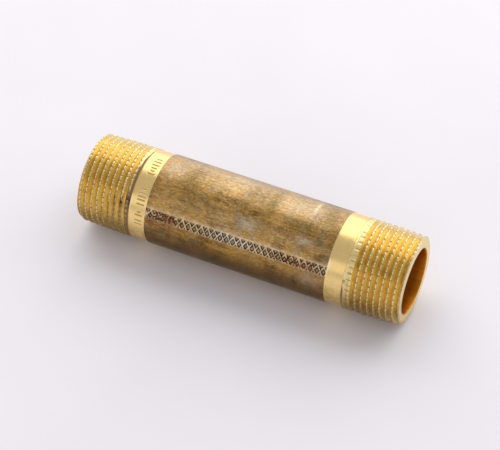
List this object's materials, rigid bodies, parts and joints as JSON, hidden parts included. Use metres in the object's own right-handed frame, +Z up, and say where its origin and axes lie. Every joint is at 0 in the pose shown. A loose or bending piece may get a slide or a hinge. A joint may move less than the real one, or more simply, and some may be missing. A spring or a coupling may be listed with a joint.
{
  "type": "threaded pipe nipple",
  "caption": "Long brass barrel nipple: a straight tube with a taper pipe thread and a turned collar at each end.",
  "frame": {"origin": "middle of the tube's axis, halfway between the two end faces", "axes": "+X along the tube's axis towards the plain end, +Z up with the nipple lying on its side; the marked end is at -X"},
  "size_m": [0.098, 0.0264, 0.0264],
  "materials": {
    "brass_tube": "bright machined threads and collars, tarnished mill finish on the barrel"
  },
  "bodies": {
    "root": {"nipple_body": "brass_tube"}
  },
  "joints": []
}
